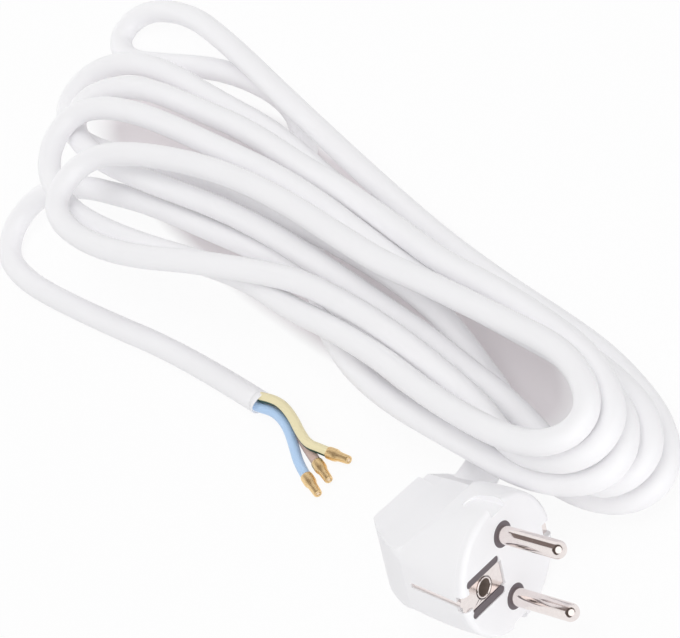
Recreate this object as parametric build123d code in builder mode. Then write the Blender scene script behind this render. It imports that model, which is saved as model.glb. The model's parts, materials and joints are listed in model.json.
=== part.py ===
# Mains lead: angled earthed plug, cord folded into a loose hank, free end with three crimped cores.
# Lengths in millimetres, +Z up, resting surface at z = 0, +X along the hank towards the plug.
import os
from math import cos, pi, radians, sin, tan

from build123d import *

os.makedirs("parts", exist_ok=True)

# Cord
CORD_D = 6.9
CORE_D = 2.4
STRAND_D = 1.3
FLOOR = CORD_D / 2

# Hank: left end, length, and how far the plug's pin face stands short of its right end
HANK_X0, HANK_LEN = -138.8, 272.8
HANK_NEAR, HANK_WIDE = -28.0, 88.0
PLUG_SHORT = 15.0

# Plug pose: centre of the pin face beside the hank and over the floor, turn about Z, roll about the pins
PLUG_ASIDE, PLUG_HIGH = 9.5, 18.72
PLUG_YAW, PLUG_ROLL = 13.5, -30.0
PLUG_AT = Vector(HANK_X0 + HANK_LEN - PLUG_SHORT, HANK_NEAR - PLUG_ASIDE, PLUG_HIGH)

# Plug moulding; a runs along the pins, b away from the earth hole, c from pin to pin
FACE_R, FRONT_LEN, FACE_EDGE = 18.6, 3.0, 1.6
FLANK_A, FLANK_B0, FLANK_B1, FLANK_C, FLANK_R = -10.0, -17.5, 18.0, 16.5, 13.5
WAIST_A, WAIST_B0, WAIST_B1, WAIST_C, WAIST_R = -20.5, -16.4, 18.0, 9.75, 3.3
HEEL_A, HEEL_B0 = -27.5, -13.3
BACK_A, BACK_B0, BACK_R, BACK_EDGE = -34.6, -8.0, 1.2, 0.7
SCOOP_A, SCOOP_C = -25.5, 8.9
LIP_A, LIP_LOW_C, LIP_C, LIP_END_B = -30.3, 9.3, 10.7, 11.2
BOSS_C, BOSS_B, BOSS_TIP_C, BOSS_TIP_B = 9.2, 14.6, 4.6, 21.8
CUT_PAST = 12.0
RAIL_W, RAIL_DEEP, RAIL_LEN = 5.4, 2.4, 10.0

# Contacts
PIN_D, PIN_PITCH, PIN_OUT = 4.8, 19.0, 19.0
SHANK_D, SHANK_LEN = 4.4, 8.0
COLLAR_D = 7.0
CRIMP_D, CRIMP_LEN = 3.8, 5.0
EARTH_B, SLEEVE_R, SLEEVE_WALL, SLEEVE_LEN = -10.0, 2.45, 0.7, 15.0
SLEEVE_TOP, SLEEVE_EDGE = -1.1, 0.35
RECESS_B0, RECESS_B1 = -16.0, -2.6
STRIP_W, STRIP_T, STRIP_DOWN, STRIP_STEP = 6.7, 0.8, 1.75, 0.5
RIM_W, CLIP_W, CLIP_LEN, CLIP_IN = 4.4, 1.6, 18.5, 0.4
RIM_REACH = 3.4
BRIDGE_TOP, BRIDGE_T, BRIDGE_R = -5.0, 4.0, 14.4
RIB_W, RIB_LEN, RIB_DOWN = 2.2, 13.2, 0.3
CROSS_A = -11.5

# Moulded strain relief: leaves along b and bends up until it is level
NECK_A, NECK_B, NECK_BEND_R = -29.0, 15.0, 38.0
NECK_R0, NECK_R1 = 5.6, 4.8
CORD_IN_B = 11.0
LEAD_OUT = 9.0

# Free end: the sheath is cut here, the cores fan out to their end sleeves
SLEEVE_D, SLEEVE_TIP_D = 3.3, 2.2
SLEEVE_OVER, SLEEVE_WIDE, SLEEVE_TIP = 1.5, 2.1, 4.0
STRAND_OUT = 0.3

TAIL_ROUTE = [
    Vector(-84, -5.2, 11.5),
    Vector(-97, -8, 11.5),
    Vector(-109, -12.7, 10),
    Vector(-117, -19.3, 7),
    Vector(-119.7, -28.5, 4.6),
    Vector(-115, -37, FLOOR),
    Vector(-105, -40, FLOOR),
    Vector(-91, -40.5, FLOOR),
    Vector(-63, -38.2, FLOOR),
    Vector(-29, -34.2, FLOOR),
    Vector(4, -34.2, FLOOR),
]

CORE_ROUTES = {
    "green_yellow": [(4, -33.84, 4.85), (8.5, -33.84, 4.85), (15, -32.8, 4.4), (21, -34, 3.2),
                     (25.5, -34.9, 2.1), (29.8, -33.8, 1.65), (34, -34.7, 1.65)],
    "blue": [(4, -35.55, 3.1), (8.5, -35.55, 3.1), (15, -36.6, 3.5), (21.6, -39.2, 2.6),
             (26.5, -41.6, 1.65), (32, -43.7, 1.65)],
    "brown": [(4, -33.2, 2.42), (8.5, -33.2, 2.42), (15, -34.5, 1.3), (21.6, -37, 1.25),
              (26.5, -38.4, 1.65), (32, -39.7, 1.65)],
}

# Hank: outer shape of the folded turns, one row per section.
# Share of the length, near and far side as shares of the width, top at the near side, middle and far side
HANK_ROWS = [
    (0, 0.763, 0.902, 8, 9, 9),
    (0.018, 0.451, 0.983, 14, 16, 15),
    (0.08, 0.254, 1, 22, 22, 17),
    (0.164, 0.15, 0.997, 29, 30, 17),
    (0.194, 0.035, 0.983, 31, 33, 17),
    (0.289, 0, 0.925, 33, 34.5, 17),
    (0.362, 0.058, 0.867, 33, 34.5, 17),
    (0.472, 0.162, 0.786, 27, 32, 17),
    (0.582, 0.173, 0.74, 24, 31, 17),
    (0.648, 0.127, 0.705, 22, 32, 17),
    (0.729, 0.11, 0.671, 26, 35, 18),
    (0.817, 0.098, 0.647, 30, 37, 20),
    (0.875, 0.098, 0.613, 32, 37.5, 24),
    (0.912, 0.133, 0.555, 30, 37.5, 24),
    (0.949, 0.185, 0.497, 27, 36, 22),
    (0.978, 0.254, 0.439, 22, 26, 20),
    (1, 0.312, 0.393, 10, 11, 10),
]
HANK_EDGE = 3.5
PASS_W, PASS_TOP, PASS_SHIFT = 23.0, 18.2, 2.0


def tangent_radii(points):
    """Radii that leave a tenth of the shorter run straight between neighbouring arcs."""
    radii = []
    for before, here, after in zip(points, points[1:], points[2:]):
        turn = radians((here - before).get_angle(after - here))
        radii.append(0.45 * min((here - before).length, (after - here).length) / tan(turn / 2))
    return radii


def tube(points, diameter, label):
    """Round tube along straight runs joined by tangent arcs."""
    radii = tangent_radii(points)
    with BuildPart() as part:
        with BuildLine() as line:
            FilletPolyline(*points, radius=radii)
        with BuildSketch(Plane(origin=points[0], z_dir=points[1] - points[0])):
            Circle(diameter / 2)
        sweep()
    length = sum(edge.length for edge in line.edges())
    print(label, "length", round(length, 1), "radii", [round(r, 1) for r in radii],
          "volume/expected", round(part.part.volume / (length * pi * diameter**2 / 4), 4))
    return part.part


# Planes of the plug
a_dir = Vector(cos(radians(PLUG_YAW)), sin(radians(PLUG_YAW)), 0)
level = Vector(-sin(radians(PLUG_YAW)), cos(radians(PLUG_YAW)), 0)
b_dir = level * cos(radians(PLUG_ROLL)) + Vector(0, 0, 1) * sin(radians(PLUG_ROLL))
face = Plane(origin=PLUG_AT, x_dir=b_dir, z_dir=a_dir)
ac_plane = Plane(origin=PLUG_AT, x_dir=face.z_dir, z_dir=face.x_dir * -1)
ab_plane = Plane(origin=PLUG_AT, x_dir=face.z_dir, z_dir=face.y_dir)


def at_plug(a, b, c):
    """A point of the row from its place along the pins, from the earth side and across the pins."""
    return face.from_local_coords(Vector(b, c, a))


# Pins: turned, round nose, thinner shank in the carrier, crimp barrel behind it
PIN_PLACES = {"live_pin": PIN_PITCH / 2, "neutral_pin": -PIN_PITCH / 2}
pins = {}
for name, place in PIN_PLACES.items():
    with BuildPart() as pin:
        with BuildSketch(face):
            with Locations((0, place)):
                Circle(PIN_D / 2)
        extrude(amount=PIN_OUT)
        fillet(pin.faces().sort_by(Axis(PLUG_AT, a_dir))[-1].edges(), PIN_D / 2 - 0.15)
        with BuildSketch(face.offset(-SHANK_LEN)):
            with Locations((0, place)):
                Circle(SHANK_D / 2)
        extrude(amount=SHANK_LEN)
        with BuildSketch(face.offset(-SHANK_LEN - CRIMP_LEN)):
            with Locations((0, place)):
                Circle(CRIMP_D / 2)
        extrude(amount=CRIMP_LEN)
    pins[name] = pin.part

# Earth sleeve: drawn tube standing in the bracket, rounded at the mouth, closed at the back
with BuildPart() as earth_sleeve:
    with BuildSketch(face.offset(SLEEVE_TOP - SLEEVE_LEN)):
        with Locations((EARTH_B, 0)):
            Circle(SLEEVE_R + SLEEVE_WALL)
    extrude(amount=SLEEVE_LEN)
    fillet(earth_sleeve.faces().sort_by(Axis(PLUG_AT, a_dir))[-1].edges(), SLEEVE_EDGE)
    with BuildSketch(face.offset(SLEEVE_TOP - SLEEVE_LEN + 1.0)):
        with Locations((EARTH_B, 0)):
            Circle(SLEEVE_R)
    extrude(amount=SLEEVE_LEN - 1.0, mode=Mode.SUBTRACT)

# Earth bracket: strip from one side clip over the rim and round the sleeve, up at its end, down and across
CLIP_B0 = -FACE_R + CLIP_IN
CLIP_REAR_B0 = WAIST_B0 + CLIP_IN
CLIP_B1 = FACE_R - CLIP_IN
STRIP_LOW = -STRIP_DOWN - STRIP_T
STEP_B = RECESS_B1 - 0.3
with BuildPart() as earth_bracket:
    with BuildSketch(face.offset(STRIP_LOW)):
        with Locations(((RECESS_B0 + STEP_B) / 2 + 0.2, 0)):
            Rectangle(STEP_B - RECESS_B0 - 0.4, STRIP_W)
        with Locations(((CLIP_B0 + RECESS_B0 + 0.4) / 2, 0)):
            Rectangle(RECESS_B0 + 0.4 - CLIP_B0, RIM_W)
        with Locations((EARTH_B, 0)):
            Circle(SLEEVE_R + SLEEVE_WALL, mode=Mode.SUBTRACT)
    extrude(amount=STRIP_T)
    with BuildSketch(face.offset(CROSS_A)):
        with Locations((STEP_B - STRIP_T / 2, 0)):
            Rectangle(STRIP_T, STRIP_W)
    extrude(amount=-STRIP_STEP - CROSS_A)
    with BuildSketch(face.offset(CROSS_A)):
        with Locations(((STEP_B - STRIP_T + CLIP_B1) / 2, 0)):
            Rectangle(CLIP_B1 - STEP_B + STRIP_T, RIM_W)
    extrude(amount=STRIP_T)
    with BuildSketch(ab_plane):
        Polygon((STRIP_LOW, CLIP_B0), (STRIP_LOW, CLIP_B0 + STRIP_T), (-CLIP_LEN, CLIP_REAR_B0 + STRIP_T),
                (-CLIP_LEN, CLIP_REAR_B0), align=None)
        Polygon((-STRIP_DOWN, CLIP_B1), (-STRIP_DOWN, CLIP_B1 - STRIP_T), (-CLIP_LEN, CLIP_B1 - STRIP_T),
                (-CLIP_LEN, CLIP_B1), align=None)
    extrude(amount=CLIP_W / 2, both=True)
    with BuildSketch(face.offset(STRIP_LOW)):
        with Locations((CLIP_B1 - RIM_REACH / 2, 0)):
            Rectangle(RIM_REACH, RIM_W)
    extrude(amount=STRIP_T)

# Contact carrier: dark plate with a collar round each pin and a rib each side of the earth strip
RIB_B = (RECESS_B0 + RECESS_B1) / 2 - 0.5
RIB_C = STRIP_W / 2 + RIB_W / 2 + 0.1
with BuildPart() as contact_bridge:
    with BuildSketch(face.offset(BRIDGE_TOP - BRIDGE_T)):
        Circle(BRIDGE_R)
        with Locations((EARTH_B, 0)):
            Circle(SLEEVE_R + SLEEVE_WALL, mode=Mode.SUBTRACT)
        with Locations((STEP_B - STRIP_T / 2, 0)):
            Rectangle(STRIP_T, STRIP_W, mode=Mode.SUBTRACT)
        with Locations((0, PIN_PITCH / 2), (0, -PIN_PITCH / 2)):
            Circle(SHANK_D / 2, mode=Mode.SUBTRACT)
    extrude(amount=BRIDGE_T)
    with BuildSketch(face.offset(BRIDGE_TOP)):
        with Locations((0, PIN_PITCH / 2), (0, -PIN_PITCH / 2)):
            Circle(COLLAR_D / 2)
            Circle(SHANK_D / 2, mode=Mode.SUBTRACT)
    extrude(amount=-BRIDGE_TOP)
    with BuildSketch(face.offset(BRIDGE_TOP)):
        with Locations((RIB_B, RIB_C), (RIB_B, -RIB_C)):
            SlotOverall(RIB_LEN, RIB_W)
    extrude(amount=-BRIDGE_TOP - RIB_DOWN)

# Cores inside the plug, from the cut sheath to the crimp barrels and the bracket
plug_cores = {}
for name, place in PIN_PLACES.items():
    close = 1.4 if place > 0 else -1.4
    route = [at_plug(NECK_A - 0.8, CORD_IN_B, close), at_plug(NECK_A - 0.8, CORD_IN_B - 4, close),
             at_plug(NECK_A + 1, 2, place * 0.38), at_plug(-SHANK_LEN - CRIMP_LEN - 2.5, 0, place),
             at_plug(-SHANK_LEN - CRIMP_LEN, 0, place)]
    plug_cores[name] = tube(route, CORE_D, "core to " + name)
route = [at_plug(NECK_A + 1.6, CORD_IN_B, 0), at_plug(NECK_A + 1.6, CORD_IN_B - 3.5, 0),
         at_plug(NECK_A + 5, 4.5, 0), at_plug(CROSS_A, 4.5, 0)]
plug_cores["earth"] = tube(route, CORE_D, "core to earth bracket")

# Lead: follows the bend of the strain relief, then runs level to the hank
neck_turn = radians(-PLUG_ROLL)


def neck_plane(turn):
    """Plane across the strain relief after it has bent by the given angle."""
    b = NECK_B + NECK_BEND_R * sin(turn)
    c = NECK_BEND_R * (1 - cos(turn))
    along = face.x_dir * cos(turn) + face.y_dir * sin(turn)
    return Plane(origin=at_plug(NECK_A, b, c), x_dir=face.z_dir, z_dir=along)


neck_tip = neck_plane(neck_turn)
lead_end = neck_tip.origin + neck_tip.z_dir * LEAD_OUT
with BuildPart() as cord_lead:
    with BuildLine() as lead_line:
        Polyline(at_plug(NECK_A, CORD_IN_B, 0), neck_plane(0).origin)
        ThreePointArc(neck_plane(0).origin, neck_plane(neck_turn / 2).origin, neck_tip.origin)
        Polyline(neck_tip.origin, lead_end)
    with BuildSketch(Plane(origin=at_plug(NECK_A, CORD_IN_B, 0), z_dir=face.x_dir)):
        Circle(CORD_D / 2)
    sweep()
lead_length = sum(edge.length for edge in lead_line.edges())
print("lead", round(lead_length, 1), "volume/expected",
      round(cord_lead.part.volume / (lead_length * pi * CORD_D**2 / 4), 4),
      "tip", tuple(round(v, 1) for v in neck_tip.origin), "end", tuple(round(v, 1) for v in lead_end))

# Plug moulding with its strain relief
with BuildPart() as plug_body:
    with BuildSketch(face.offset(-FRONT_LEN)):
        Circle(FACE_R)
    extrude(amount=FRONT_LEN)
    fillet(plug_body.faces().sort_by(Axis(PLUG_AT, a_dir))[-1].edges(), FACE_EDGE)
    with BuildSketch(face.offset(-FRONT_LEN + 0.5)):
        RectangleRounded(2 * FACE_R - 0.1, 2 * FACE_R - 0.1, FACE_R - 0.3)
    with BuildSketch(face.offset(FLANK_A)):
        with Locations(((FLANK_B0 + FLANK_B1) / 2, 0)):
            RectangleRounded(FLANK_B1 - FLANK_B0, 2 * FLANK_C, FLANK_R)
    with BuildSketch(face.offset(WAIST_A)):
        with Locations(((WAIST_B0 + WAIST_B1) / 2, 0)):
            RectangleRounded(WAIST_B1 - WAIST_B0, 2 * WAIST_C, WAIST_R)
    loft()
    with BuildSketch(face.offset(WAIST_A)):
        with Locations(((WAIST_B0 + WAIST_B1) / 2, 0)):
            RectangleRounded(WAIST_B1 - WAIST_B0, 2 * WAIST_C, WAIST_R)
    with BuildSketch(face.offset(HEEL_A)):
        with Locations(((HEEL_B0 + BOSS_TIP_B) / 2, 0)):
            RectangleRounded(BOSS_TIP_B - HEEL_B0, 2 * LIP_C + 0.8, (WAIST_R + BACK_R) / 2)
    with BuildSketch(face.offset(BACK_A)):
        with Locations(((BACK_B0 + BOSS_TIP_B) / 2, 0)):
            RectangleRounded(BOSS_TIP_B - BACK_B0, 2 * LIP_C + 0.8, BACK_R)
    loft()
    for flip in (1, -1):
        with BuildSketch(ac_plane):
            with BuildLine():
                ThreePointArc((WAIST_A, flip * WAIST_C), (SCOOP_A, flip * SCOOP_C), (LIP_A, flip * LIP_LOW_C))
                Polyline((LIP_A, flip * LIP_LOW_C), (BACK_A, flip * LIP_C), (BACK_A - 1, flip * LIP_C),
                         (BACK_A - 1, flip * (LIP_C + CUT_PAST)), (WAIST_A, flip * (LIP_C + CUT_PAST)),
                         (WAIST_A, flip * WAIST_C))
            make_face()
        extrude(amount=FACE_R + CUT_PAST, both=True, mode=Mode.SUBTRACT)
        with BuildSketch(face.offset(BACK_A - 1)):
            Polygon((LIP_END_B, flip * (LIP_C + CUT_PAST)), (LIP_END_B, flip * BOSS_C), (BOSS_B, flip * BOSS_C),
                    (BOSS_TIP_B, flip * BOSS_TIP_C), (BOSS_TIP_B + CUT_PAST, flip * BOSS_TIP_C),
                    (BOSS_TIP_B + CUT_PAST, flip * (LIP_C + CUT_PAST)), align=None)
        extrude(amount=WAIST_A - BACK_A + 1, mode=Mode.SUBTRACT)
        with BuildSketch(ab_plane.offset(flip * (FACE_R - RAIL_DEEP))):
            SlotOverall(2 * RAIL_LEN, RAIL_W)
        extrude(amount=flip * CUT_PAST, mode=Mode.SUBTRACT)
    back_edges = plug_body.faces().sort_by(Axis(PLUG_AT, a_dir))[0].edges()
    fillet(back_edges.filter_by(Axis(PLUG_AT, face.y_dir)).sort_by(Axis(PLUG_AT, b_dir))[0], BACK_EDGE)
    with BuildSketch(neck_plane(0).offset(-5)):
        Circle(NECK_R0 + 0.3)
    for share in (0, 0.34, 0.67, 1):
        with BuildSketch(neck_plane(neck_turn * share)):
            Circle(NECK_R0 + (NECK_R1 - NECK_R0) * share)
    loft()
    with BuildSketch(face.offset(STRIP_LOW)):
        with Locations(((RECESS_B0 + RECESS_B1) / 2, 0)):
            Rectangle(RECESS_B1 - RECESS_B0, STRIP_W + 0.4)
        with Locations((RIB_B, RIB_C), (RIB_B, -RIB_C)):
            SlotOverall(RIB_LEN, RIB_W)
        with Locations((-FACE_R + 1.5, 0), (FACE_R - 1.5, 0)):
            Rectangle(5, RIM_W)
    extrude(amount=-STRIP_LOW, mode=Mode.SUBTRACT)
    with BuildSketch(ab_plane):
        Polygon((0, -FACE_R - 1), (0, CLIP_B0 + STRIP_T), (-CLIP_LEN, CLIP_REAR_B0 + STRIP_T),
                (-CLIP_LEN, -FACE_R - 1), align=None)
        Polygon((0, FACE_R + 1), (0, CLIP_B1 - STRIP_T), (-CLIP_LEN, CLIP_B1 - STRIP_T),
                (-CLIP_LEN, FACE_R + 1), align=None)
    extrude(amount=CLIP_W / 2, both=True, mode=Mode.SUBTRACT)
    with BuildSketch(face.offset(SLEEVE_TOP - SLEEVE_LEN)):
        with Locations((EARTH_B, 0)):
            Circle(SLEEVE_R + SLEEVE_WALL)
    extrude(amount=SLEEVE_LEN, mode=Mode.SUBTRACT)
    for inner in [*pins.values(), earth_bracket.part, contact_bridge.part, *plug_cores.values(), cord_lead.part]:
        add(inner, mode=Mode.SUBTRACT)

# Hank, cut away underneath where the plug's neck and lead pass below the turns
with BuildPart() as cord_hank:
    for along, near_share, far_share, top_near, top_mid, top_far in HANK_ROWS:
        near = HANK_NEAR + HANK_WIDE * near_share
        far = HANK_NEAR + HANK_WIDE * far_share
        e = min(HANK_EDGE, (far - near) / 5, top_near / 3)
        with BuildSketch(Plane(origin=(HANK_X0 + HANK_LEN * along, 0, 0), x_dir=(0, 1, 0), z_dir=(1, 0, 0))):
            Polygon((near + e, 0), (far - e, 0), (far, e), (far, top_far - e), (far - e, top_far),
                    ((near + far) / 2, top_mid), (near + e, top_near), (near, top_near - e), (near, e), align=None)
    loft(ruled=True)
    with BuildSketch(Plane(origin=(lead_end.X, lead_end.Y, 0), x_dir=a_dir, z_dir=(0, 0, 1))):
        with Locations((PASS_SHIFT, -HANK_WIDE / 4)):
            Rectangle(PASS_W, HANK_WIDE / 2)
    extrude(amount=PASS_TOP, mode=Mode.SUBTRACT)

# Tail from the hank to the cut sheath
with BuildPart() as cord_tail:
    add(tube(TAIL_ROUTE, CORD_D, "tail"))
    add(cord_hank.part, mode=Mode.SUBTRACT)

# Cores, strands and end sleeves of the free end
free_end = {}
for name, route in CORE_ROUTES.items():
    points = [Vector(*p) for p in route]
    free_end["core_" + name] = tube(points, CORE_D, "core " + name)
    along = Plane(origin=points[-1], z_dir=points[-1] - points[-2])
    with BuildPart() as strands:
        with BuildSketch(along):
            Circle(STRAND_D / 2)
        extrude(amount=SLEEVE_WIDE + SLEEVE_TIP + STRAND_OUT)
    with BuildPart() as ferrule:
        with BuildSketch(along.offset(-SLEEVE_OVER)):
            Circle(SLEEVE_D / 2)
        extrude(amount=SLEEVE_OVER + SLEEVE_WIDE)
        with BuildSketch(along.offset(SLEEVE_WIDE)):
            Circle(SLEEVE_TIP_D / 2)
        extrude(amount=SLEEVE_TIP)
        with BuildSketch(along.offset(-SLEEVE_OVER)):
            Circle(CORE_D / 2)
        extrude(amount=SLEEVE_OVER, mode=Mode.SUBTRACT)
        with BuildSketch(along):
            Circle(STRAND_D / 2)
        extrude(amount=SLEEVE_WIDE + SLEEVE_TIP, mode=Mode.SUBTRACT)
    free_end["strands_" + name] = strands.part
    free_end["ferrule_" + name] = ferrule.part

solids = {
    "plug_body": plug_body.part,
    "contact_bridge": contact_bridge.part,
    "live_pin": pins["live_pin"],
    "neutral_pin": pins["neutral_pin"],
    "earth_bracket": earth_bracket.part,
    "earth_sleeve": earth_sleeve.part,
    "plug_core_live": plug_cores["live_pin"],
    "plug_core_neutral": plug_cores["neutral_pin"],
    "plug_core_earth": plug_cores["earth"],
    "cord_lead": cord_lead.part,
    "cord_hank": cord_hank.part,
    "cord_tail": cord_tail.part,
    **free_end,
}
for name, solid in solids.items():
    solid.label = name
    export_step(solid, "parts/" + name + ".step")
    box = solid.bounding_box()
    print(name, len(solid.solids()), "solid", round(solid.volume, 1), "mm3",
          tuple(round(v, 1) for v in box.min), tuple(round(v, 1) for v in box.max))
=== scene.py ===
# %% [markdown]
# # A mains lead, folded into a loose hank
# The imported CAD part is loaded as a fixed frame: plug, contacts, cord and the three crimped cores. This
# script dresses it. The scene is in metres, with the resting surface at z = 0, and the sizes of the lead
# are written in millimetres.

# %% Load the frame
import json
from math import cos, radians, sin

import bmesh
import bpy
import numpy as np
from mathutils import Matrix, Vector


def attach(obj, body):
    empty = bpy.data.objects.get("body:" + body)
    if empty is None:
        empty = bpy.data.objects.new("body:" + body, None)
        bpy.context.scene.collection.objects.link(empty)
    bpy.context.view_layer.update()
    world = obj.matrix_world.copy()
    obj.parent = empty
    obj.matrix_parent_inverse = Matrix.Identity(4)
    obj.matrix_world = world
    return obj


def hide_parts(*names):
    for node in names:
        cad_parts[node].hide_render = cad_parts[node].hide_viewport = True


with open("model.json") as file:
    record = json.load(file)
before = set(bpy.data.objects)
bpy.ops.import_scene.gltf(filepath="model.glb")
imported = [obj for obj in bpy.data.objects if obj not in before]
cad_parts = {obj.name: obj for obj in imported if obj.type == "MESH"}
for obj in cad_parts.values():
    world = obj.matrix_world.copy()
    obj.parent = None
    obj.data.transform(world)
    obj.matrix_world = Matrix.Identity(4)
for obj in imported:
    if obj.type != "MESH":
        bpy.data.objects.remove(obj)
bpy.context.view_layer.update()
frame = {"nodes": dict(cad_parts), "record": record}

MM = 0.001
nodes = frame["nodes"]
print("CAD nodes", len(nodes))

# %% [markdown]
# ## The camera
# The photograph looks down along the hank with a long lens, and the camera is rolled by half a right
# angle. A camera object takes its own axes as the columns of a matrix, so the sight line is worked out
# first, then the picture's right and down, and the three go into the matrix. This keeps the roll exact.

# %% Sight line
AIM = np.array([7.0, -2.0, 0.0]) * MM
AWAY = 822 * MM
CAMERA_RISE, CAMERA_TURN, CAMERA_ROLL = radians(47), radians(-11), radians(45)
UP = np.array([0, 0, 1])


def unit(vectors):
    """Vectors divided by their own lengths."""
    vectors = np.asarray(vectors, float)
    return vectors / np.linalg.norm(vectors, axis=-1, keepdims=True)


toward = np.array([cos(CAMERA_RISE) * cos(CAMERA_TURN), cos(CAMERA_RISE) * sin(CAMERA_TURN),
                   sin(CAMERA_RISE)])
level_right = unit(np.cross(-toward, UP))
level_down = np.cross(-toward, level_right)
picture_right = cos(CAMERA_ROLL) * level_right + sin(CAMERA_ROLL) * level_down
picture_down = cos(CAMERA_ROLL) * level_down - sin(CAMERA_ROLL) * level_right
eye = AIM + AWAY * toward
print("camera at", [round(v, 3) for v in eye])

# %% [markdown]
# The focal length was found in pixels of the photograph. The width of the sensor over that of the picture
# turns it into millimetres.

# %% Camera
PICTURE_WIDTH, FOCAL_PX, SENSOR_MM, NEAREST = 680, 2950, 36, 0.05
camera_data = bpy.data.cameras.new("camera")
camera_data.sensor_width = SENSOR_MM
camera_data.lens = SENSOR_MM * FOCAL_PX / PICTURE_WIDTH
camera_data.clip_start = NEAREST
camera = bpy.data.objects.new("camera", camera_data)
axes = np.eye(4)
axes[:3] = np.stack([picture_right, -picture_down, toward, eye], -1)
camera.matrix_world = Matrix(axes.tolist())
bpy.context.collection.objects.link(camera)
bpy.context.scene.camera = camera
print("lens", round(camera_data.lens, 1), "mm")
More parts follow.
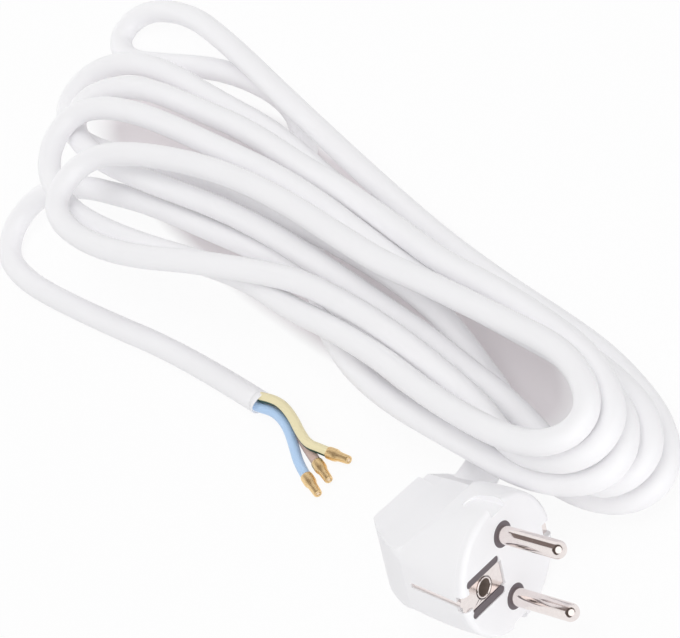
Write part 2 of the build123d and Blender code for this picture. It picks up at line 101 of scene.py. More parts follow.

# %% [markdown]
# ## The route of the cord
# The cord is one piece of flexible lead: it leaves the plug's strain relief, is folded to and fro five
# times with its folds fanned out, and ends in a free tail. A bent wire of arcs would look stiff, so the
# points below are the control points of one NURBS spline, which rounds every corner by itself. L folds are
# at the left end, R folds at the plug's end, and each row between two folds is one long run.

# %% Route
CORD_D = 6.9
LIE = CORD_D / 2
ROUTE = [
    # leaves the strain relief on the floor and climbs into the bundle
    (84.6, -18.9, 6.6), (83.3, -13.2, 6.1), (81.4, -5.3, 6.1), (76, 0.7, 6.2), (66, 4.2, 8.5),
    (51, 9.5, 12.5), (38, 12, 15), (17, 13.2, 16), (-1, 13, 17), (-14, 12.5, 17.5), (-32, 12.3, 17),
    (-60, 11, 15.3), (-85, 7, 12.5), (-101, 4, 10.7),
    # L2
    (-117, 3.5, 10), (-127.5, 9.5, 10), (-130, 18.5, 10), (-126, 27.5, 10), (-115, 33.5, 10),
    (-99, 35.5, 10), (-78, 34.5, 10), (-50, 34, 11), (-33, 31.5, 11.5), (-13, 28, 11.3), (9, 25, 11.3),
    (31, 21.6, 12), (55, 19, 12.5), (78, 20, 14), (97, 19, 14.7), (112, 17, 15),
    # R4
    (122.5, 13.5, 14.7), (130.3, 6.5, 14.5), (130.3, -2, 14.5), (124, -8.5, 14.5),
    (113, -8.5, 14.7), (102, -5, 15.5), (86, -1.5, 17), (70, 0, 17.5), (53, 2.2, 17), (37, 3.2, 17),
    (15, 4.3, 20), (-3, 4.8, 22), (-19, 5.1, 22), (-36, 4.3, 22), (-54, 2.2, 22), (-73, 0.2, 21.5),
    (-92, 0, 19),
    # L3
    (-106, 2, 17.3), (-114, 7, 17), (-115, 15, 17), (-108, 22, 17),
    (-95, 26.5, 17), (-73, 28, 17), (-49, 29, 18), (-23, 27, 18.5), (-2, 26, 20.5), (28, 22.8, 23.5),
    (46, 20.5, 25), (70, 20.7, 26), (89, 19.2, 27), (105, 17.3, 27.5),
    # R2
    (117.5, 12.5, 27.7), (125.5, 5.8, 27.7), (126.3, -2.7, 27.7), (121, -9.5, 27.5),
    (110, -13, 27), (99, -12, 25.8), (86, -7.5, 24), (69, -5, 24.5), (51, -3, 25), (33, -2, 24.5),
    (15, -2.5, 25), (3, -4.5, 25.7), (-13, -10, 27.5), (-27, -15, 29), (-40, -20.5, 30), (-55, -24.5, 31),
    # L5
    (-70.5, -25, 31), (-81.5, -21, 31), (-84.5, -11.5, 31), (-81, -2.5, 31), (-70, 3.5, 31),
    (-51, 9, 31), (-31, 12.3, 31), (-9, 13.3, 30.5), (13, 12.3, 30), (33, 11.5, 29.5), (48, 12.5, 29.7),
    (68, 13, 31), (87, 13.2, 33),
    # R1
    (103, 13.3, 34), (114.5, 10, 34), (122.3, 3.5, 34), (122.3, -4.5, 34), (115.5, -10.7, 34),
    (104, -13, 33), (88, -13.3, 31), (69, -12.3, 28), (50, -10, 25), (26, -9, 21.5), (9, -10, 20.5),
    (-10, -8.8, 20), (-29, -11.5, 21), (-53, -16.5, 22), (-77, -19, 23),
    # L4
    (-92, -16.5, 23.7), (-103, -10, 24), (-108, -1, 24), (-107, 7.7, 24), (-99, 13.3, 24),
    (-86, 16.5, 24), (-71, 18, 24), (-48, 19, 24), (-26, 20, 24), (-3, 19, 23.7), (17, 16.7, 22.8),
    (35, 15.2, 21.5), (55, 15.3, 20.3), (78, 15.5, 20), (97, 15.3, 21),
    # R3, then under the bundle to the far side
    (112.5, 13, 21), (123, 9, 21), (129, 1.7, 21), (128.3, -7, 21), (120, -13.5, 21),
    (106, -17, 20.7), (91, -17.2, 20), (75, -17.3, 19), (56, -17.3, 17), (38, -15, 15), (24, -11, 12.3),
    (12, -6.2, 9.6), (-1, 2.5, 8.2), (-15, 13, 6.6), (-31, 27, 4.6), (-43, 38, LIE), (-56, 45.5, LIE),
    (-75, 47, LIE), (-94, 44.5, LIE), (-112, 38.5, LIE),
    # L1
    (-126, 34.2, LIE), (-135.8, 38.5, LIE), (-135.5, 47.5, 3.8), (-127, 53.3, 5),
    (-110, 55.3, 7), (-91, 52.3, 10), (-72, 48.5, 12.5), (-51, 44, 13.3), (-26, 39, 13), (0, 34, 12.3),
    (29, 29, 11), (55, 26.3, 10), (78, 25, 9), (95, 23.5, 8), (110, 20, 7.2),
    # R5, then over the strain relief and out of the bundle as the tail
    (122, 15.3, 7), (130.5, 8.5, 7), (132.8, 1, 7), (129.3, -5.8, 7), (122, -10, 7.2),
    (113, -12, 8.8), (104, -12, 11.5), (96, -10.7, 14.2), (86, -8.7, 14.6), (70, -6, 13.3), (52, -5, 11.5),
    (37, -4, 11), (17, -1.2, 13.5), (-1, 1.7, 16), (-23, 0.2, 16), (-44, -1.6, 16), (-66, -3, 14.5),
    # tail, down to the floor and round to the cut end
    (-84, -5.2, 11.5), (-97, -8, 11.5), (-109, -12.7, 10), (-117, -19.3, 7), (-119.7, -28.5, 4.6),
    (-115, -37, LIE), (-105, -40, LIE), (-91, -40.5, LIE), (-63, -38.2, LIE), (-29, -34.2, LIE),
    (4.7, -34.2, LIE),
]
print("route of", len(ROUTE), "points")

# %% [markdown]
# ## The cord
# A curve object with a round bevel gives a tube of one thickness along the spline, and its caps close
# both ends. The order is set after the points are there, because Blender keeps it no higher than their
# number.

# %% Cord
def spline_curve(name, points, bevel=0.0):
    """Open quadratic NURBS curve led by its control points, in millimetres, with an optional round bevel.
    The tube's radius is each point's own, times a bevel of one, because the curve's box is worked out from
    it."""
    data = bpy.data.curves.new(name, "CURVE")
    data.dimensions = "3D"
    line = data.splines.new("NURBS")
    line.points.add(len(points) - 1)
    spots = np.ones((len(points), 4))
    spots[:, :3] = np.asarray(points) * MM
    line.points.foreach_set("co", spots.ravel())
    line.points.foreach_set("radius", np.full(len(points), bevel * MM))
    line.order_u = 3
    line.use_endpoint_u = True
    line.resolution_u = 10
    data.bevel_depth = 1.0 if bevel else 0.0
    data.bevel_resolution = 6
    data.use_fill_caps = True
    return data


cord = bpy.data.objects.new("cord", spline_curve("cord", ROUTE, CORD_D / 2))
bpy.context.collection.objects.link(cord)
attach(cord, "root")
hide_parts("cord_lead", "cord_hank", "cord_tail")
print("cord", CORD_D, "mm across")

# %% [markdown]
# How long such a cord is can be read from the spline itself: the curve without a bevel turns into a line
# of points, and the steps between them add up to the length.

# %% Length of the cord
def centre_line(name, points):
    """Points along a spline, read from its curve without a bevel, in millimetres."""
    bare = bpy.data.objects.new(name, spline_curve(name, points))
    bpy.context.collection.objects.link(bare)
    bpy.context.view_layer.update()
    mesh = bpy.data.meshes.new_from_object(bare.evaluated_get(bpy.context.evaluated_depsgraph_get()))
    line = np.empty(3 * len(mesh.vertices))
    mesh.vertices.foreach_get("co", line)
    bpy.data.objects.remove(bare)
    bpy.data.meshes.remove(mesh)
    return line.reshape(-1, 3) / MM


steps = np.linalg.norm(np.diff(centre_line("cord_centre", ROUTE), axis=0), axis=1)
print("cord of", round(float(steps.sum()) / 1000, 3), "m")

# %% [markdown]
# ## Grids of points
# Every new mesh is a grid: a profile with rows along it and columns round it. A grid that closes on
# itself needs its last column joined to its first, and a tube or a turned part needs its two ends closed.

# %% Grid to mesh
AROUND = 48


def full_turn(columns=AROUND):
    """Even angles round a full turn, without the last one, which would repeat the first."""
    return np.linspace(0, 2 * np.pi, columns, endpoint=False)


def grid_mesh(name, points, texture=None, close_ends=True):
    """Mesh of a grid of points (rows, columns, 3) whose columns close into rings; the first and last ring
    are capped by one polygon each. Texture coordinates, if given, are (rows, columns + 1, 2)."""
    rows, columns = points.shape[:2]
    index = np.arange(rows * columns).reshape(rows, columns)
    right = np.roll(index, -1, axis=1)
    faces = np.stack([index[:-1], right[:-1], right[1:], index[1:]], -1).reshape(-1, 4).tolist()
    if close_ends:
        faces += [index[0, ::-1].tolist(), index[-1].tolist()]
    mesh = bpy.data.meshes.new(name)
    mesh.from_pydata(points.reshape(-1, 3).tolist(), [], faces)
    if texture is not None:
        corners = np.stack([texture[:-1, :-1], texture[:-1, 1:], texture[1:, 1:], texture[1:, :-1]], 2)
        all_corners = np.zeros((len(mesh.loops), 2))
        all_corners[: corners.size // 2] = corners.reshape(-1, 2)
        mesh.uv_layers.new(name="along").data.foreach_set("uv", all_corners.ravel())
    mesh.polygons.foreach_set("use_smooth", np.ones(len(mesh.polygons), bool))
    mesh.update()
    return mesh


def place(name, mesh, slot, *stands_for):
    """Object at the origin that rides on the part and stands for the named CAD nodes."""
    piece = bpy.data.objects.new(name, mesh)
    bpy.context.collection.objects.link(piece)
    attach(piece, "root")
    if stands_for:
        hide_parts(*stands_for)
    return piece


print("a ring has", AROUND, "columns")

# %% [markdown]
# ## The three cores
# Where the sheath is cut, three insulated cores fan out. Each is a round tube whose section is carried
# along its own spline. The tube is made as a grid, because its texture coordinates then run along the
# core, and the earth core's green stripe can follow them.

# %% Cores
CORE_D = 2.9
CORE_ROUTES = {
    "green_yellow": [(1.5, -33.4, 4.9), (5.5, -33, 5), (9.4, -31.9, 5.1), (13.7, -31.6, 4.9),
                     (19.3, -33.1, 4.6), (24.4, -35.5, 4.4), (29.1, -37, 4), (32.2, -36.1, 2.7),
                     (36.3, -35.4, 1.8)],
    "blue": [(1.5, -35.8, 3.2), (4.7, -35.6, 3.2), (11.3, -34.1, 3.1), (17.8, -35.6, 3), (23.4, -38.9, 2.6),
             (29.3, -43, 2), (34.9, -44.8, 1.8)],
    "brown": [(1.5, -32.9, 2.2), (8, -31.7, 1.7), (13, -31.8, 1.45), (18.5, -33.5, 1.45), (23, -36, 1.45),
              (29.2, -38.3, 1.5), (35, -40.1, 1.8)],
}


def core_slot(colour):
    """Slot of a core, named for the last word of its colour."""
    return colour.split("_")[-1] + "_core"


def tube_along(line, radius, around=20):
    """Tube round a line of points: at each point a ring square to the line, turned so that it never twists
    about the upright; texture coordinates give the turn and the length in millimetres."""
    ahead = unit(np.gradient(line, axis=0))
    side = unit(np.cross(ahead, UP))
    over = np.cross(side, ahead)
    turn = full_turn(around)[None, :, None]
    ring = np.cos(turn) * over[:, None] + np.sin(turn) * side[:, None]
    length = np.concatenate([[0], np.cumsum(np.linalg.norm(np.diff(line, axis=0), axis=1))])
    texture = np.stack(np.meshgrid(np.linspace(0, 1, around + 1), length), -1)
    return (line[:, None] + radius * ring) * MM, texture


cores = {}
for colour, route in CORE_ROUTES.items():
    points, texture = tube_along(centre_line("core_centre", route), CORE_D / 2)
    mesh = grid_mesh("core_" + colour, points, texture)
    cores[colour] = place("insulated_core_" + colour, mesh, core_slot(colour), "core_" + colour)
print("cores", list(cores))

# %% [markdown]
# The sheath was cut a little askew, so its edge stands out furthest over the earth core. The edge is a
# short ring let into the cord's end. Its first and last rows are the same points, so they are joined.

# %% Cut edge of the sheath
SAME_POINT = 0.001 * MM
CUT_IN, CUT_REACH, CUT_SKEW, CUT_LEAST, CUT_FACING = 0.3, 0.55, 1.35, 0.02, radians(-20)
CUT_BORE_R, CUT_LIP_R, CUT_EDGE_R, CUT_SKIN_R, CUT_ROUNDING = 2.95, 3.2, 3.4, 3.46, 0.15


def merged(mesh):
    """The same mesh with points that lie on each other joined."""
    work = bmesh.new()
    work.from_mesh(mesh)
    bmesh.ops.remove_doubles(work, verts=work.verts, dist=SAME_POINT)
    work.to_mesh(mesh)
    work.free()
    return mesh


def askew_ring(end):
    """Ring about the cord's end: it starts a little inside and reaches out by a mean length plus a cosine
    of the turn, but never less than a hair. Its rows run from the bore out to the skin, forward and back
    in."""
    turn = full_turn()
    start = np.full_like(turn, -CUT_IN)
    reach = np.maximum(CUT_REACH + CUT_SKEW * np.cos(turn - CUT_FACING), CUT_LEAST)
    rows = [(start, CUT_BORE_R), (start, CUT_SKIN_R), (reach - CUT_ROUNDING, CUT_SKIN_R),
            (reach, CUT_EDGE_R), (reach, CUT_LIP_R), (start, CUT_BORE_R)]
    return np.stack([end + np.stack([out, -radius * np.sin(turn), radius * np.cos(turn)], -1)
                     for out, radius in rows]) * MM


mesh = merged(grid_mesh("cut_edge", askew_ring(np.array(ROUTE[-1])), close_ends=False))
cut_edge = place("cut_edge", mesh, "white_sheath")
print("cut edge of", len(mesh.vertices), "points")

# %% [markdown]
# ## The end sleeves
# Each core ends in a crimped brass sleeve: a wide collar over the insulation and a thinner barrel on the
# strands. They are turned parts, so a profile is carried round the core's last direction, with small
# radii at each edge.

# %% End sleeves
SLEEVE_PROFILE = [(-1.6, 1.4), (-1.65, 1.56), (-1.5, 1.72), (-1.1, 1.78), (0.8, 1.78), (1.4, 1.7),
                  (1.9, 1.48), (2.5, 1.36), (3.2, 1.32), (5.4, 1.22), (5.85, 1.16), (6.05, 1.02),
                  (6.05, 0.84), (5.6, 0.76)]
STRAND_PROFILE = [(2.0, 0.1), (2.0, 0.7), (5.75, 0.7), (5.95, 0.5), (6.0, 0.12)]
STRANDS_AROUND = 20


def turned(origin, direction, profile, around=AROUND):
    """Turned part: a profile of distances along an axis and radii, in millimetres, carried round the axis.
    A point is the origin plus its distance along the axis plus its radius in the direction of its turn."""
    profile = np.asarray(profile, float)[:, :, None, None]
    direction = unit(direction)
    first = unit(np.cross(direction, UP))
    turn = full_turn(around)[:, None]
    ring = np.cos(turn) * first + np.sin(turn) * np.cross(direction, first)
    return (np.asarray(origin) + profile[:, 0] * direction + profile[:, 1] * ring) * MM


sleeves, strands = {}, {}
for colour, route in CORE_ROUTES.items():
    end = np.array(route[-1], float)
    heading = end - np.array(route[-2], float)
    heading[2] = 0
    mesh = grid_mesh("end_sleeve_" + colour, turned(end, heading, SLEEVE_PROFILE))
    sleeves[colour] = place("end_sleeve_" + colour, mesh, "end_sleeve", "ferrule_" + colour)
    mesh = grid_mesh("strand_end_" + colour, turned(end, heading, STRAND_PROFILE, STRANDS_AROUND))
    strands[colour] = place("strand_end_" + colour, mesh, "copper", "strands_" + colour)
print("end sleeves", len(sleeves), "strand ends", len(strands))

# %% [markdown]
# ## The earth contact
# On the real plug the strip and the sleeve's mouth come up almost to the pin face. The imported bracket
# lies deeper, so a copy of it is lifted where the strip is, along the pins, until it is level with its
# own upturned end.

# %% Earth strip
PLUG_AT = np.array([119, -37.5, 18.72])
PLUG_TURN, PLUG_ROLL = radians(13.5), radians(-30)
along_pins = np.array([cos(PLUG_TURN), sin(PLUG_TURN), 0])
across_pins = np.array([-sin(PLUG_TURN), cos(PLUG_TURN), 0])
beside_pins = cos(PLUG_ROLL) * across_pins + sin(PLUG_ROLL) * UP
STRIP_LOW, STRIP_TOP, STRIP_END, STRIP_LIFT, MARGIN = -2.55, -1.75, -2.8, 1.25, 0.05

mesh = merged(nodes["earth_bracket"].data.copy())
spots = np.empty(3 * len(mesh.vertices))
mesh.vertices.foreach_get("co", spots)
spots = spots.reshape(-1, 3)
outward, beside = (spots / MM - PLUG_AT) @ along_pins, (spots / MM - PLUG_AT) @ beside_pins
on_strip = (outward > STRIP_LOW - MARGIN) & (outward < STRIP_TOP + MARGIN) & (beside < STRIP_END)
spots[on_strip] += STRIP_LIFT * MM * along_pins
mesh.vertices.foreach_set("co", spots.ravel())
earth_strip = place("earth_strip", merged(mesh), "nickel", "earth_bracket")
print("lifted", int(on_strip.sum()), "points of the bracket")

# %% [markdown]
# The sleeve is a drawn tube, so it is turned again with its mouth a little above the strip. The faces of
# its bore are the last ones of the grid, and they get a dark finish of their own, whose colour is painted
# shade inside the bore.

# %% Earth sleeve
EARTH_HOLE, MOUTH = -10.0, -0.25
MOUTH_PROFILE = [(-15.4, 0.02), (-15.4, 3.15), (-4.0, 3.15), (-3.2, 2.8), (MOUTH - 0.3, 2.8),
                 (MOUTH - 0.06, 2.7), (MOUTH, 2.54), (MOUTH - 0.1, 2.38), (MOUTH - 0.4, 2.3),
                 (-14.4, 2.3), (-14.4, 0.02)]
BORE_ROWS = 2
mesh = grid_mesh("earth_mouth", turned(PLUG_AT + EARTH_HOLE * beside_pins, along_pins, MOUTH_PROFILE))
finish_index = np.zeros(len(mesh.polygons), int)
# The bore's faces take the second finish, whose dark colour paints the shade inside the sleeve.
finish_index[(len(MOUTH_PROFILE) - 1 - BORE_ROWS) * AROUND:] = 1
mesh.polygons.foreach_set("material_index", finish_index)
earth_mouth = place("earth_mouth", mesh, "nickel", "earth_sleeve")
print("bore has", int(finish_index.sum()), "faces")

# %% [markdown]

print("cord made")

# %% [markdown]
# ## Finishes
# Nothing on the real lead is one flat colour: plastics and metals vary a little in tint and gloss, and
# the plastics have a fine moulded grain. The variation is a node group, built once and placed in each
# material with its own scale and colours.

# %% Grain group
def moulded_grain():
    """Node group: two noises on object coordinates give a slow tint, a roughness and a fine height."""
    group = bpy.data.node_groups.new("moulded_grain", "ShaderNodeTree")
    sockets = {"INPUT": {"Vector": "Vector", "Patch size": "Float", "Grain size": "Float",
                         "Rough low": "Float", "Rough high": "Float", "Light": "Color", "Dark": "Color"},
               "OUTPUT": {"Color": "Color", "Roughness": "Float", "Height": "Float"}}
    for side, labels in sockets.items():
        for label, kind in labels.items():
            group.interface.new_socket(label, in_out=side, socket_type="NodeSocket" + kind)
    new, link = group.nodes.new, group.links.new
    start, end = new("NodeGroupInput"), new("NodeGroupOutput")
    patch, grain = new("ShaderNodeTexNoise"), new("ShaderNodeTexNoise")
    for noise, size, detail in ((patch, "Patch size", 3), (grain, "Grain size", 2)):
        noise.inputs["Detail"].default_value = detail
        link(start.outputs["Vector"], noise.inputs["Vector"])
        link(start.outputs[size], noise.inputs["Scale"])
    tint, gloss = new("ShaderNodeMix"), new("ShaderNodeMapRange")
    tint.data_type = "RGBA"
    link(patch.outputs["Fac"], tint.inputs["Factor"])
    link(start.outputs["Dark"], tint.inputs["A"])
    link(start.outputs["Light"], tint.inputs["B"])
    link(patch.outputs["Fac"], gloss.inputs["Value"])
    link(start.outputs["Rough low"], gloss.inputs["To Min"])
    link(start.outputs["Rough high"], gloss.inputs["To Max"])
    link(tint.outputs["Result"], end.inputs["Color"])
    link(gloss.outputs["Result"], end.inputs["Roughness"])
    link(grain.outputs["Fac"], end.inputs["Height"])
    return group


GRAIN = moulded_grain()
print("grain group of", len(GRAIN.nodes), "nodes")

# %% [markdown]
# A plastic takes tint, gloss and a fine bump from the group.

# %% Plastics
def varied(name, light, dark, rough, patch, grain):
    """Material whose colour and roughness come from the grain group on object coordinates; returns it with
    the group's node."""
    material = bpy.data.materials.new(name)
    material.use_nodes = True
    new, link = material.node_tree.nodes.new, material.node_tree.links.new
    shader = material.node_tree.nodes["Principled BSDF"]
    spot, group = new("ShaderNodeTexCoord"), new("ShaderNodeGroup")
    group.node_tree = GRAIN
    group.inputs["Patch size"].default_value = patch
    group.inputs["Grain size"].default_value = grain
    group.inputs["Rough low"].default_value, group.inputs["Rough high"].default_value = rough
    group.inputs["Light"].default_value = (*light, 1)
    group.inputs["Dark"].default_value = (*dark, 1)
    link(spot.outputs["Object"], group.inputs["Vector"])
    link(group.outputs["Color"], shader.inputs["Base Color"])
    link(group.outputs["Roughness"], shader.inputs["Roughness"])
    return material, group


PLASTIC_PATCH, BUMP_DEPTH = 60.0, 0.0002


def plastic(name, light, dark, rough, grain=1800.0, bump=0.05):
    """Moulded plastic: the group's fine height also feeds a bump."""
    material, group = varied(name, light, dark, rough, PLASTIC_PATCH, grain)
    dent = material.node_tree.nodes.new("ShaderNodeBump")
    dent.inputs["Strength"].default_value = bump
    dent.inputs["Distance"].default_value = BUMP_DEPTH
    link = material.node_tree.links.new
    link(group.outputs["Height"], dent.inputs["Height"])
    link(dent.outputs["Normal"], material.node_tree.nodes["Principled BSDF"].inputs["Normal"])
    return material


WHITE = (0.925, 0.92, 0.935), (0.895, 0.89, 0.905)
white_sheath = plastic("white_sheath", *WHITE, (0.42, 0.54))
white_moulding = plastic("white_moulding", *WHITE, (0.45, 0.58), grain=2600, bump=0.08)
dark_carrier = plastic("dark_carrier", (0.15, 0.125, 0.137), (0.12, 0.10, 0.11), (0.45, 0.6))
blue_core = plastic("blue_core", (0.50, 0.68, 0.92), (0.45, 0.63, 0.88), (0.35, 0.5))
brown_core = plastic("brown_core", (0.64, 0.48, 0.42), (0.58, 0.42, 0.36), (0.4, 0.55))
yellow_core = plastic("yellow_core", (0.88, 0.80, 0.52), (0.83, 0.74, 0.46), (0.38, 0.5))
print("plastics made")

# %% [markdown]
# The earth core is yellow with a green stripe along it. A strip of its own would have to follow each
# bend, so the stripe is painted by the texture coordinate that counts the turn round the core.

# %% Stripe on the earth core
def add_stripe(material, colour, turn, half_width):
    """Stripe along a core: where the turn in the texture coordinates is near one value, the colour is the
    stripe's."""
    tree = material.node_tree
    shader = tree.nodes["Principled BSDF"]
    ground = shader.inputs["Base Color"].links[0].from_socket
    spot, split, near, pick = (tree.nodes.new("ShaderNode" + kind) for kind in (
        "UVMap", "SeparateXYZ", "Math", "Mix"))
    spot.uv_map = "along"
    near.operation = "COMPARE"
    near.inputs[1].default_value = turn
    near.inputs[2].default_value = half_width
    pick.data_type = "RGBA"
    pick.inputs["B"].default_value = (*colour, 1)
    tree.links.new(spot.outputs["UV"], split.inputs["Vector"])
    tree.links.new(split.outputs["X"], near.inputs[0])
    tree.links.new(near.outputs[0], pick.inputs["Factor"])
    tree.links.new(ground, pick.inputs["A"])
    tree.links.new(pick.outputs["Result"], shader.inputs["Base Color"])


DARK_GREEN, STRIPE_TURN, STRIPE_HALF = (0.02, 0.07, 0.045), 0.29, 0.13
add_stripe(yellow_core, DARK_GREEN, STRIPE_TURN, STRIPE_HALF)
print("stripe over", 2 * STRIPE_HALF, "of the turn")

# %% [markdown]
# ## Metals
# The contacts are nickel plated, the end sleeves are brass and the strands are bright copper. The bore of
# the earth sleeve is dull and only partly metallic, and its dark colour is painted shade inside the bore.

# %% Metals
METAL_PATCH, METAL_GRAIN = 900.0, 2700.0


def metal(name, light, dark, rough, metallic=1.0):
    """Metal: the group varies its colour and gloss over a part."""
    material, _ = varied(name, light, dark, rough, METAL_PATCH, METAL_GRAIN)
    material.node_tree.nodes["Principled BSDF"].inputs["Metallic"].default_value = metallic
    return material


nickel = metal("nickel", (0.90, 0.84, 0.82), (0.80, 0.73, 0.71), (0.08, 0.16))
brass = metal("brass", (1.0, 0.78, 0.45), (0.92, 0.66, 0.34), (0.40, 0.54))
# The bore's dark brown colour is painted shade inside the sleeve. Its dull, only partly metallic finish is
# its own.
painted_shade_bore = metal("painted_shade_bore", (0.26, 0.21, 0.18), (0.17, 0.13, 0.11), (0.4, 0.55), metallic=0.15)
copper = metal("copper", (0.97, 0.80, 0.58), (0.86, 0.64, 0.42), (0.35, 0.5))
print("metals made")

# %% [markdown]
# The record names a slot for each CAD node, and each slot has one finish. The new pieces follow.

# %% Finishes on the pieces
FINISH = {
    "white_moulding": white_moulding, "white_sheath": white_sheath, "dark_carrier": dark_carrier,
    "nickel": nickel, "brown_core": brown_core, "blue_core": blue_core, "yellow_core": yellow_core,
    "end_sleeve": brass, "copper": copper,
}


def dress(piece, *finishes):
    """Gives a piece its finishes in place of any it came with. A piece without any is not cleared, because
    that would also forget which face has which finish."""
    if piece.data.materials:
        piece.data.materials.clear()
    for finish in finishes:
        piece.data.materials.append(finish)


for part in frame["record"]["subparts"]:
    dress(nodes[part["node"]], FINISH[part["material_slot"]])
new_pieces = [(cord, white_sheath), (cut_edge, white_sheath), (earth_strip, nickel),
              (earth_mouth, nickel, painted_shade_bore)]
for colour in CORE_ROUTES:
    new_pieces += [(cores[colour], FINISH[core_slot(colour)]), (sleeves[colour], brass),
                   (strands[colour], copper)]
for piece, *finishes in new_pieces:
    dress(piece, *finishes)

# %% [markdown]
# ## Floor
# The object lies on white paper, which shows as plain white to the camera and in reflections where it lies
# open. In an oval under the hank the paper keeps its own rendered shade. Its colour is also darkened there
# as painted shade, because the real one is grey between the turns.

# %% Floor
HALF_FLOOR = 3.0
corners = np.array([[-1, -1, 0], [1, -1, 0], [1, 1, 0], [-1, 1, 0]]) * HALF_FLOOR
floor_mesh = bpy.data.meshes.new("floor")
floor_mesh.from_pydata(corners.tolist(), [], [(0, 1, 2, 3)])
floor = bpy.data.objects.new("floor", floor_mesh)
bpy.context.collection.objects.link(floor)
print("floor", 2 * HALF_FLOOR, "m square")

# %% [markdown]
# Object coordinates are moved, turned and scaled to the oval, where a round gradient falls from 1 in the
# middle to 0. Its level picks both how much of the paper glows white and how far the paper's colour is
# darkened by painted shade.

# %% Paper
OPEN_SHARE, OPEN_LEVEL, SHADED_LEVEL = 0.9, 0.27, 0.39
# The second colour darkens the paper inside the oval as painted shade under the hank.
OPEN_COLOUR, PAINTED_SHADE_COLOUR = (0.9, 0.9, 0.91, 1), (0.85, 0.81, 0.825, 1)
HANK_MIDDLE, HANK_TURN, HANK_HALF = (-0.016, 0.0137, 0), (0, 0, radians(-4.6)), (0.168, 0.036, 1)


def seen(tree):
    """Value that is 1 for camera, glossy and transmission rays and 0 for other rays."""
    path = tree.nodes.new("ShaderNodeLightPath")
    value = path.outputs["Is Camera Ray"]
    for other in ("Is Glossy Ray", "Is Transmission Ray"):
        either = tree.nodes.new("ShaderNodeMath")
        either.operation = "MAXIMUM"
        tree.links.new(value, either.inputs[0])
        tree.links.new(path.outputs[other], either.inputs[1])
        value = either.outputs[0]
    return value


paper = bpy.data.materials.new("paper")
paper.use_nodes = True
tree = paper.node_tree
tree.nodes.remove(tree.nodes["Principled BSDF"])
matt, glow, mix, spot, lay, oval, paleness, share, tint = (tree.nodes.new("ShaderNode" + kind) for kind in (
    "BsdfDiffuse", "Emission", "MixShader", "TexCoord", "Mapping", "TexGradient", "MapRange", "Math",
    "Mix"))
glow.inputs["Color"].default_value = (1, 1, 1, 1)
lay.vector_type = "TEXTURE"
lay.inputs["Location"].default_value = HANK_MIDDLE
lay.inputs["Rotation"].default_value = HANK_TURN
lay.inputs["Scale"].default_value = HANK_HALF
oval.gradient_type = "SPHERICAL"
paleness.inputs["From Min"].default_value = OPEN_LEVEL
paleness.inputs["From Max"].default_value = SHADED_LEVEL
paleness.inputs["To Min"].default_value = OPEN_SHARE
paleness.inputs["To Max"].default_value = 0
tint.data_type = "RGBA"
# Inside the oval the paper's colour mixes towards the painted shade.
tint.inputs["A"].default_value, tint.inputs["B"].default_value = PAINTED_SHADE_COLOUR, OPEN_COLOUR
share.operation = "MULTIPLY"
for source, target in (
        (spot.outputs["Object"], lay.inputs["Vector"]), (lay.outputs["Vector"], oval.inputs["Vector"]),
        (oval.outputs["Fac"], paleness.inputs["Value"]),
        (paleness.outputs["Result"], tint.inputs["Factor"]), (tint.outputs["Result"], matt.inputs["Color"]),
        (paleness.outputs["Result"], share.inputs[0]),
        (seen(tree), share.inputs[1]), (share.outputs[0], mix.inputs["Fac"]),
        (matt.outputs[0], mix.inputs[1]), (glow.outputs[0], mix.inputs[2]),
        (mix.outputs[0], tree.nodes["Material Output"].inputs["Surface"])):
    tree.links.new(source, target)
floor_mesh.materials.append(paper)
print("paper of", len(tree.nodes), "nodes")

# %% [markdown]
# ## Light
# The photograph is bright and flat, also deep between the turns. The surroundings give an even fill and
# show as white.

# %% Surroundings
FILL = 0.565
world = bpy.data.worlds.new("studio")
bpy.context.scene.world = world
world.use_nodes = True
tree = world.node_tree
sky = tree.nodes["Background"]
level = tree.nodes.new("ShaderNodeMapRange")
level.inputs["To Min"].default_value = FILL
level.inputs["To Max"].default_value = 1.0
tree.links.new(seen(tree), level.inputs["Value"])
tree.links.new(level.outputs["Result"], sky.inputs["Strength"])
sky.inputs["Color"].default_value = (1, 1, 1, 1)
print("fill", FILL)

# %% [markdown]
# Each soft box is a square area light turned to the object. Two above and behind shape the tops, and two
# low ones at the sides throw no shadow, so they reach between the turns.

# %% Soft boxes
BOX_SIZE = 1.0


def soft_box(name, place_at, watts, shadows=True):
    """Square area light that faces the object and has no image in bright metal."""
    lamp = bpy.data.lights.new(name, "AREA")
    lamp.size = BOX_SIZE
    lamp.energy = watts
    lamp.use_shadow = shadows
    holder = bpy.data.objects.new(name, lamp)
    holder.location = place_at
    holder.rotation_euler = (Vector(AIM) - Vector(place_at)).to_track_quat("-Z", "Y").to_euler()
    holder.visible_glossy = False
    bpy.context.collection.objects.link(holder)


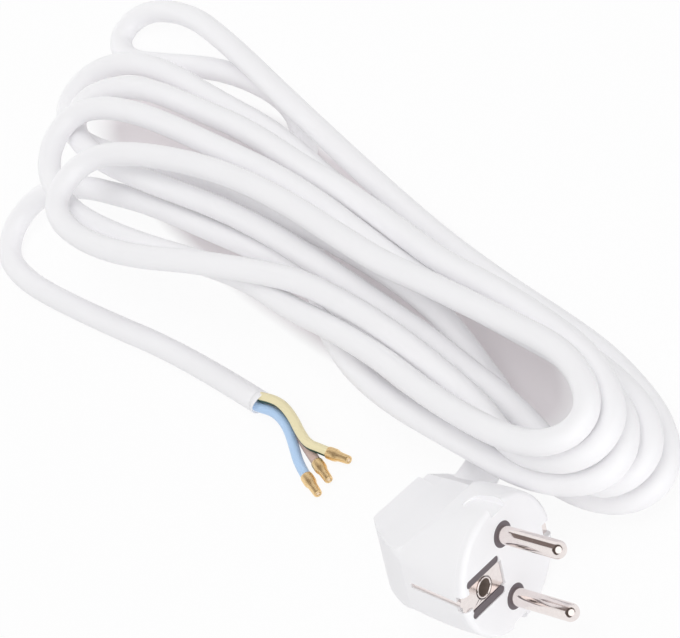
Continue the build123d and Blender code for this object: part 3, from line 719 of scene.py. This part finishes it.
soft_box("top", (0.0, 0.1, 1.4), 4.6)
soft_box("back", (-0.5, 1.1, 0.7), 1.6)
soft_box("left fill", (-1.25, -0.2, 0.5), 4.6, shadows=False)
soft_box("right fill", (1.25, -0.35, 0.4), 6.7, shadows=False)
bpy.context.scene.view_settings.view_transform = "Standard"
print("soft boxes", len(bpy.data.lights))

# %% [markdown]
# ## Cards for the metals
# Bright metal in an all-white room looks like plastic. A studio hangs dark cards round it: a long strip
# above, which shows in the pins as a dark line along their length, and a dark disc with a small window
# towards the camera, which shows in their round tips. Only mirrored rays see the cards, so they shade
# nothing.

# %% Cards
def card(name, outline, colour):
    """Flat card through the points of its outline, seen only in reflections."""
    mesh = bpy.data.meshes.new(name)
    mesh.from_pydata(np.asarray(outline).tolist(), [], [tuple(range(len(outline)))])
    sheet = bpy.data.objects.new(name, mesh)
    bpy.context.collection.objects.link(sheet)
    sheet.visible_camera = sheet.visible_diffuse = sheet.visible_transmission = sheet.visible_shadow = False
    cloth = bpy.data.materials.new(name)
    cloth.use_nodes = True
    tree = cloth.node_tree
    tree.nodes.remove(tree.nodes["Principled BSDF"])
    shine = tree.nodes.new("ShaderNodeEmission")
    shine.inputs["Color"].default_value = (*colour, 1)
    tree.links.new(shine.outputs[0], tree.nodes["Material Output"].inputs["Surface"])
    mesh.materials.append(cloth)


CARD_AT, CARD_HALF_LONG, CARD_HALF_WIDE = np.array([0.07, 0.06, 1.0]), 1.5, 0.5
card("dark_strip", [CARD_AT + i * CARD_HALF_LONG * along_pins + j * CARD_HALF_WIDE * across_pins
                    for i, j in ((-1, -1), (1, -1), (1, 1), (-1, 1))], (0.22, 0.18, 0.17))
DISC_AT, DISC_R = AIM + 0.65 * toward - 0.2 * picture_right, 1.2
WINDOW_AT, WINDOW_R = AIM + 0.6 * toward + 0.22 * picture_right + 0.08 * picture_down, 0.45
turn = full_turn()[:, None]
rim = np.cos(turn) * picture_right + np.sin(turn) * picture_down
card("dark_disc", DISC_AT + DISC_R * rim, (0.10, 0.08, 0.07))
card("window", WINDOW_AT + WINDOW_R * rim, (1.3, 1.28, 1.26))
print("cards hung")

# %% Update the view layer
bpy.context.view_layer.update()
